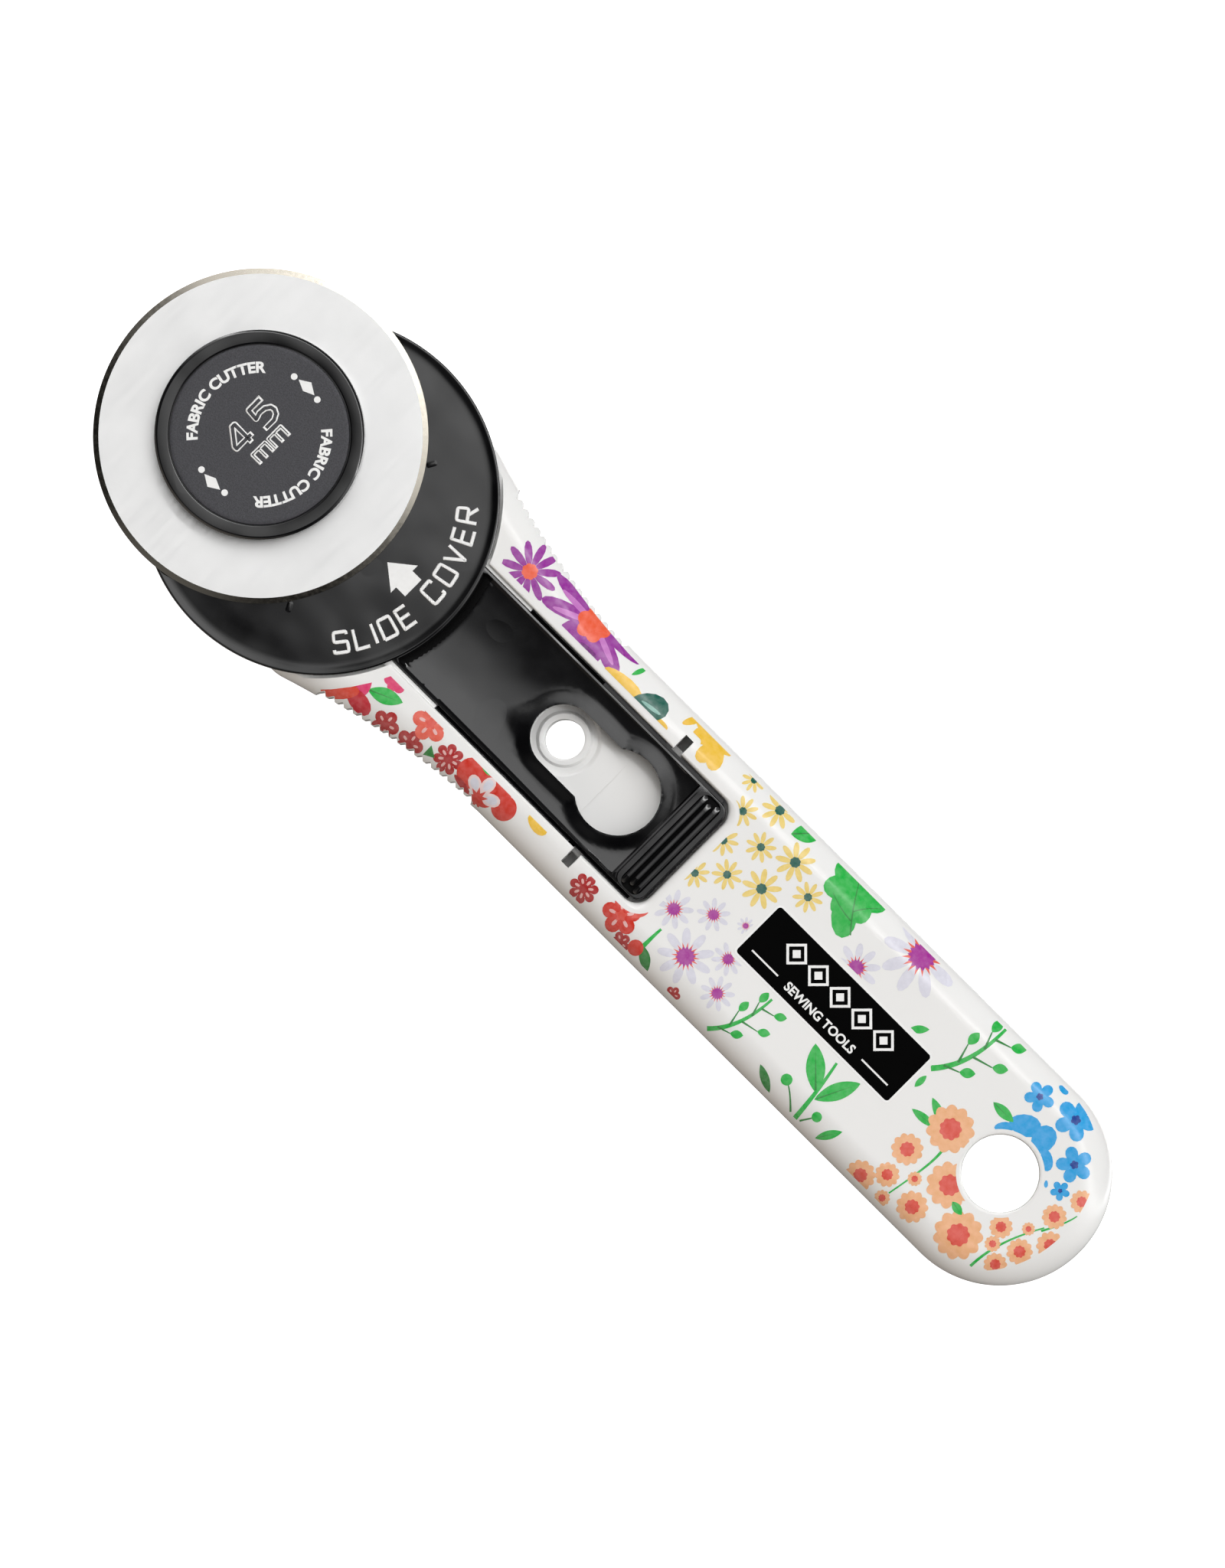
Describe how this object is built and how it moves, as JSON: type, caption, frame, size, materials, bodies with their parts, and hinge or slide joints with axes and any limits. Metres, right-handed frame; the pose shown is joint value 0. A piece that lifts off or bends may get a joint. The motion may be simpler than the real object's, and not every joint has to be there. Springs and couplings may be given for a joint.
{
  "type": "rotary cutter",
  "caption": "Handheld rotary cutter for fabric: a round steel blade on a bolt and clamping nut, a sliding blade cover with a thumb slider, and a straight rounded handle with a hanging hole.",
  "frame": {"origin": "middle of the base of the bounding box: the cutter lies on its back, and the base is the clamping nut's outer face", "axes": "+X along the handle towards the tail with the hanging hole; +Z out of the blade side, along the bolt; the bolt's axis is at x = -0.0662, y = 0"},
  "size_m": [0.1774, 0.0482, 0.0172],
  "materials": {
    "handle_plastic": "glossy white, printed with flowers on the front",
    "cover_plastic": "glossy black",
    "disc_plastic": "fine matt grain, dark grey",
    "knob_plastic": "satin black",
    "blade_steel": "bright rolled steel with a ground edge",
    "bolt_steel": "plated",
    "spring_steel": "dark spring steel",
    "insert_brass": "turned"
  },
  "bodies": {
    "handle": {"handle": "handle_plastic", "bolt": "bolt_steel", "head_cap": "cover_plastic", "cap_disc": "disc_plastic"},
    "blade_cover": {"blade_cover": "cover_plastic"},
    "blade": {"blade": "blade_steel"},
    "spring_washer": {"spring_washer": "spring_steel"},
    "nut": {"nut_knob": "knob_plastic", "nut_insert": "insert_brass"}
  },
  "joints": [
    {"name": "cover_slide", "type": "slide", "parent": "handle", "child": "blade_cover", "axis": [-1, 0, 0], "range_m": [0, 0.0113]},
    {"name": "blade_spin", "type": "hinge", "parent": "handle", "child": "blade", "pos_m": [-0.0662, 0, 0.01355], "axis": [0, 0, 1], "continuous": true},
    {"name": "nut_travel", "type": "slide", "parent": "handle", "child": "spring_washer", "axis": [0, 0, -1], "range_m": [0, 0.004]},
    {"name": "nut_turn", "type": "hinge", "parent": "spring_washer", "child": "nut", "pos_m": [-0.0662, 0, 0.003], "axis": [0, 0, -1], "range_deg": [0, 1440]}
  ],
  "couplings": [
    {"joint": "nut_turn", "follows": "nut_travel", "rad_per_m": 6283.2}
  ]
}
